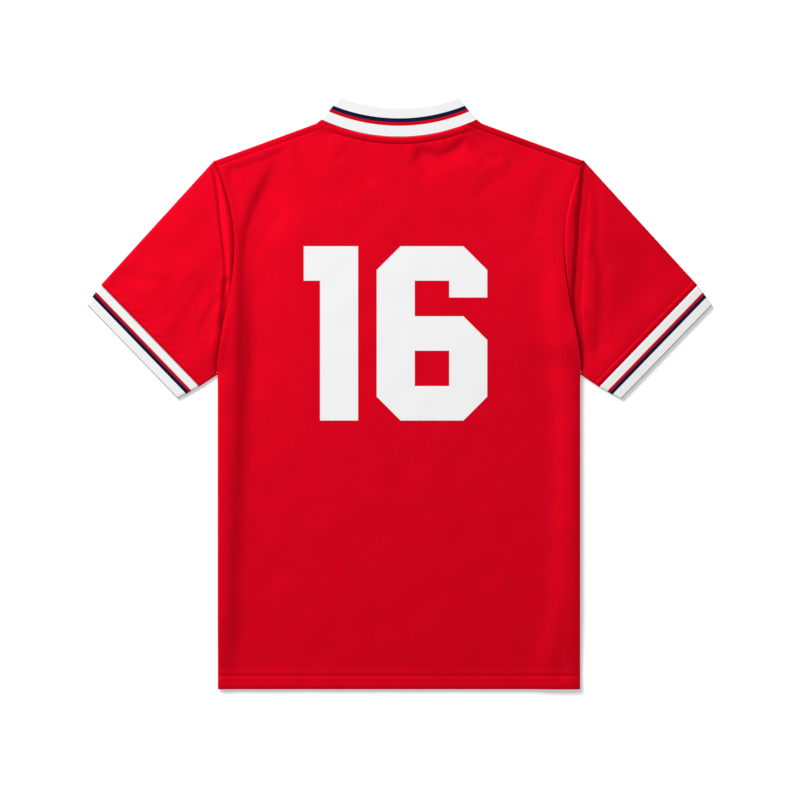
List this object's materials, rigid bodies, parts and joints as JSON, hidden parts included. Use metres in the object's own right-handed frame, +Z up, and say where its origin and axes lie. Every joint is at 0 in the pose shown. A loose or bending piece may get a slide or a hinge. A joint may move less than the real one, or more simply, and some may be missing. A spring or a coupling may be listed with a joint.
{
  "type": "football jersey laid flat",
  "caption": "Short-sleeved football jersey laid flat on its front, with striped rib collar and cuffs, a hemmed body and block figures on the back.",
  "frame": {"origin": "on the surface the shirt lies on, under the middle of its bounding box", "axes": "+X to the right seen from above, across the sleeves; +Y from hem to neck; +Z up, from the front of the shirt to its back"},
  "size_m": [0.812, 0.7697, 0.0055],
  "materials": {
    "red_knit": "fine polyester knit with a soft sheen",
    "white_rib": "matt rib knit with red and navy stripes knitted in",
    "white_film": "matt pressed-on figure film"
  },
  "bodies": {
    "root": {"front_panel": "red_knit", "back_panel": "red_knit", "sleeve_left": "red_knit", "sleeve_right": "red_knit", "cuff_left": "white_rib", "cuff_right": "white_rib", "collar": "white_rib", "number_one": "white_film", "number_six": "white_film"}
  },
  "joints": []
}
